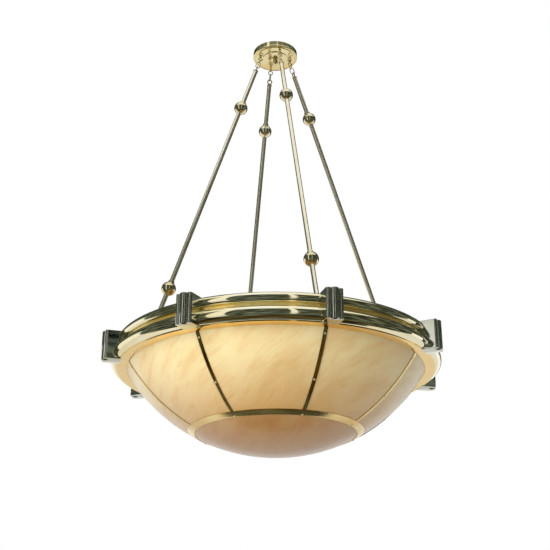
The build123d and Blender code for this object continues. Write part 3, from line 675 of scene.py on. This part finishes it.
# ---------------------------------------------------------------- strips over the joints
# Flat brass strips cover the joints: one down each joint and a wider ring over the joint of the
# dish. Small domed screws hold them to a cage inside the bowl.
strip_brass = polished_brass(
    "strip_brass", tone(238, 212, 152), tone(216, 180, 112), rough=0.16, ripple=0.02
)
strip_play = 0.0003
strip_thickness = 0.0015
strip_top_drop = 0.0005  # below the flange
strip_half_width = 0.005
strip_ease = 0.0004
strip_inner = sphere_radius + strip_play
strip_outer = strip_inner + strip_thickness
dish_ring_radii = np.array([0.2336, 0.2157])
dish_ring_edges = np.arccos(dish_ring_radii / sphere_radius)
rib_top_dip = np.arcsin((sphere_level - flange + strip_top_drop) / strip_outer)
rib_low_dip = dish_ring_edges[0] - strip_play / sphere_radius
rib_dips = np.linspace(rib_low_dip, rib_top_dip, 40)[None]
rib_across = strip_half_width * np.array([-1, -0.96, -0.8, -0.4, 0, 0.4, 0.8, 0.96, 1])[:, None]
rib_across = rib_across + 0 * rib_dips
rib_ease = strip_ease * np.array([1, 0.25, 0, 0, 0, 0, 0, 0.25, 1])[:, None]
ribs = []
for bearing in clip_bearings:
    rib_outer = on_bowl(strip_outer - rib_ease, rib_dips, bearing, rib_across)
    rib_inner = on_bowl(strip_inner, rib_dips, bearing, rib_across)
    ribs.append(slab(rib_outer, rib_inner))
piece(
    "joint_strips", "ring", ribs, strip_brass, ["rib_strips"], round_rows=False,
    round_columns=True,
)
band_turn = -np.linspace(*dish_ring_edges, 9)
band_ease = strip_ease * np.array([1, 0.2, 0, 0, 0, 0, 0, 0.2, 1])
band_outer = arc(0.0, sphere_level, strip_outer - band_ease, band_turn)
band_inner = arc(0.0, sphere_level, strip_inner, band_turn)
band = turned(np.vstack([band_outer, band_inner[::-1]]), 256)
piece("dish_joint_ring", "ring", [band], strip_brass, ["centre_strip"], round_columns=True)
head_radius, head_foot, head_rise = 0.0026, 0.0003, 0.0011
screw_turn = np.linspace(0, np.pi / 2, 7)
screw_profile = np.vstack(
    [
        [(0.0, -0.0002), (head_radius, -0.0002)],
        np.stack(
            [head_radius * np.cos(screw_turn), head_foot + head_rise * np.sin(screw_turn)], -1
        ),
    ]
)
screw_radii = (0.394, 0.3124, dish_radius)
screws = []
for radius in screw_radii:
    for bearing in clip_bearings:
        seat = on_bowl(strip_outer, np.arccos(radius / sphere_radius), bearing)
        screws.append(turned(screw_profile, 20, seat, seat - sphere_level * up))
screw_brass = polished_brass(
    "screw_brass", tone(250, 240, 205), tone(232, 212, 160), rough=0.3, metal=0.5
)
piece("strip_screw_heads", "ring", screws, screw_brass, ["strip_screws"])


# ---------------------------------------------------------------- lamps
# A steel bar lies across the ring and carries three porcelain lampholders, with a tubular opal
# lamp screwed into each from below.
def white_glaze(name, colour, rough):
    """White glaze or glass: nearly even, with faint clouds and a wet shine."""
    material, tree, shader, place = new_finish(name)
    shader.inputs["Roughness"].default_value = rough
    shader.inputs["Coat Weight"].default_value = 0.5
    shader.inputs["Coat Roughness"].default_value = 0.03
    shade = [0.93 * part for part in colour[:3]] + [1.0]
    tones = graded(tree, noise(tree, place, 40.0), (0.0, shade), (1.0, colour))
    tree.links.new(tones, shader.inputs["Base Color"])
    return material


porcelain = white_glaze("porcelain", tone(238, 236, 228), 0.2)
opal = white_glaze("opal_glass", tone(248, 246, 238), 0.12)
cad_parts["lamp_bar"].material_slots[0].material = steel
lamp_places = (-0.15, 0.0, 0.15)
holder_top = flange + 0.0104  # the bar's underside
holder_foot = holder_top - 0.034
holder_floor = holder_top - 0.006
holder_radius, holder_waist, holder_bore = 0.018, 0.0165, 0.0136
holder_profile = rounded(
    [(0.0, holder_top), (holder_radius, holder_top), (holder_radius, holder_top - 0.010),
     (holder_waist, holder_top - 0.012), (holder_waist, holder_foot + 0.008),
     (holder_radius, holder_foot + 0.006), (holder_radius, holder_foot),
     (holder_bore, holder_foot), (holder_bore, holder_floor), (0.0, holder_floor)],
    0.0012,
)
holders = [turned(holder_profile, 64, origin=(x, 0, 0)) for x in lamp_places]
piece("lamp_sockets", "ring", holders, porcelain, ["lampholders"])
lamp_top = holder_floor - 0.0005
lamp_foot = lamp_top - 0.118
lamp_base, lamp_radius, lamp_tip = 0.013, 0.015, 0.008
lamp_profile = rounded(
    [(0.0, lamp_top), (lamp_base, lamp_top), (lamp_base, lamp_top - 0.0285),
     (lamp_radius, lamp_top - 0.0345), (lamp_radius, lamp_foot + 0.007), (lamp_tip, lamp_foot),
     (0.0, lamp_foot)],
    0.006, steps=8,
)
for number, x in enumerate(lamp_places, start=1):
    piece(
        f"tubular_lamp_{number}", f"bulb_{number}", [turned(lamp_profile, 64, origin=(x, 0, 0))],
        opal, [f"bulb_{number}"],
    )


# ---------------------------------------------------------------- room
# The pendant hangs over a pale floor in a white room. Dark cloths stand in front, lie under it
# and close the room high up behind. Only polished surfaces see these, which streaks the brass as
# in a photographer's room, and the one right under the bowl is brown.
def stage_sheet(name, grid, material):
    """Open sheet from a grid of points, for the room."""
    index = np.arange(grid.shape[0] * grid.shape[1]).reshape(grid.shape[:2])
    mesh = bpy.data.meshes.new(name)
    mesh.from_pydata(grid.reshape(-1, 3).tolist(), [], grid_quads(index).tolist())
    made = bpy.data.objects.new(name, mesh)
    bpy.context.collection.objects.link(made)
    mesh.materials.append(material)
    return made


def round_room(first, last, reach, level):
    """Part of a round room between two azimuths, in degrees from the front towards +X. reach
    and level hold the distance from the axis and the height at the sheet's two long edges."""
    turn = np.radians(np.linspace(first, last, 24))[:, None]
    reach, level = np.array(reach)[None], np.array(level)[None]
    return np.stack([reach * np.sin(turn), -reach * np.cos(turn), level + 0 * turn], -1)


def two_strengths(tree, socket, for_light, for_eye):
    """Gives a strength one value for rays that light the object and another for rays of the
    camera, of reflections and through glass."""
    light_path = tree.nodes.new("ShaderNodeLightPath")
    seen = light_path.outputs["Is Camera Ray"]
    for kind in ("Is Glossy Ray", "Is Transmission Ray"):
        either = tree.nodes.new("ShaderNodeMath")
        either.operation = "MAXIMUM"
        tree.links.new(seen, either.inputs[0])
        tree.links.new(light_path.outputs[kind], either.inputs[1])
        seen = either.outputs["Value"]
    tree.links.new(ranged(tree, seen, (0.0, 1.0), (for_light, for_eye)), socket)


def dark_cloth(name, dark, pale):
    """Cloth that sends out its own colour, so that no lamp changes it: broad folds from the dark
    tone to the pale one."""
    material, tree, shader, place = new_finish(name)
    material.cycles.emission_sampling = "NONE"
    shader.inputs["Base Color"].default_value = (0.0, 0.0, 0.0, 1.0)
    shader.inputs["Specular IOR Level"].default_value = 0.0
    shader.inputs["Emission Strength"].default_value = 1.0
    folds = noise(tree, place, 1.5, detail=3.0)
    shades = graded(tree, folds, (0.40, dark), (0.70, pale))
    tree.links.new(shades, shader.inputs["Emission Color"])
    return material


floor_paint = bpy.data.materials.new("floor_paint")
floor_paint.use_nodes = True
floor_paint.cycles.emission_sampling = "NONE"
floor_shader = floor_paint.node_tree.nodes["Principled BSDF"]
floor_shader.inputs["Base Color"].default_value = tone(212, 211, 208)
floor_shader.inputs["Roughness"].default_value = 0.8
floor_shader.inputs["Emission Color"].default_value = (1, 1, 1, 1)
two_strengths(floor_paint.node_tree, floor_shader.inputs["Emission Strength"], 0.0, 0.5)
stage_sheet("floor", round_room(-180, 180, (0.0, 9.0), (-2.9, -2.9)), floor_paint)

olive_cloth = dark_cloth("olive_cloth", tone(22, 27, 26), tone(124, 132, 118))
brown_cloth = dark_cloth("brown_cloth", tone(34, 27, 14), tone(108, 92, 56))
room_reach, cloth_low, cloth_high = 3.4, -2.8, 2.7
brown_reach, back_reach = 1.9, 1.2
standing, full_height = (room_reach, room_reach), (cloth_low, cloth_high)
lying, overhead = (cloth_low, cloth_low), (cloth_high, cloth_high)
cloths = {
    "cloth_left": round_room(-112, -60, standing, full_height),
    "cloth_middle": round_room(-48, -8, standing, full_height),
    "cloth_right": round_room(-4, 78, standing, full_height),
    "cloth_foot": round_room(-112, 78, (brown_reach, room_reach), lying),
    "cloth_under": round_room(-112, 78, (0.0, brown_reach), lying),
    "cloth_below": round_room(78, 248, (0.0, back_reach), lying),
    "cloth_back_right": round_room(78, 166, standing, (-0.6, cloth_high)),
    "cloth_back_left": round_room(166, 248, standing, (0.0, cloth_high)),
    "cloth_above": round_room(78, 248, (back_reach, room_reach), overhead),
}
for name, grid in cloths.items():
    hung = stage_sheet(name, grid, brown_cloth if name == "cloth_under" else olive_cloth)
    hung.visible_camera = hung.visible_shadow = hung.visible_diffuse = False

world = bpy.data.worlds.new("white_room")
bpy.context.scene.world = world
world.use_nodes = True
world.cycles.sampling_method = "NONE"
sky = world.node_tree.nodes["Background"]
sky.inputs["Color"].default_value = (1, 1, 1, 1)
two_strengths(world.node_tree, sky.inputs["Strength"], 0.34, 1.0)


# ---------------------------------------------------------------- lights and camera
# Two tall soft boxes stand in the gaps of the front cloths, the left one wide and bright. The
# camera stands lower than the bowl and to its left, where the photograph was taken from.
def soft_box(name, azimuth, width, power):
    """Tall soft lamp standing at this azimuth, just inside the ring of cloths."""
    data = bpy.data.lights.new(name, "AREA")
    data.shape = "RECTANGLE"
    data.size = width
    data.size_y = 3.6
    data.energy = power
    lamp = bpy.data.objects.new(name, data)
    turn = np.radians(azimuth)
    reach = room_reach - 0.1
    lamp.location = reach * np.sin(turn), -reach * np.cos(turn), -0.5
    lamp.rotation_euler = np.pi / 2, 0, turn
    lamp.visible_camera = lamp.visible_glossy = False
    bpy.context.collection.objects.link(lamp)


soft_box("soft_box_left", -54, 0.66, 108)
soft_box("soft_box_front", -5.5, 0.38, 26)

camera_data = bpy.data.cameras.new("camera")
camera_data.lens = 65.66
camera_data.sensor_width = 36.0
camera = bpy.data.objects.new("camera", camera_data)
camera.location = (-0.7765, -2.5084, -1.8446)
pitch, roll, azimuth = 22.662, 0.093, -17.119
camera.rotation_euler = np.radians((90 + pitch, roll, azimuth)).tolist()
bpy.context.collection.objects.link(camera)
bpy.context.scene.camera = camera

bpy.context.scene.view_settings.view_transform = "Standard"
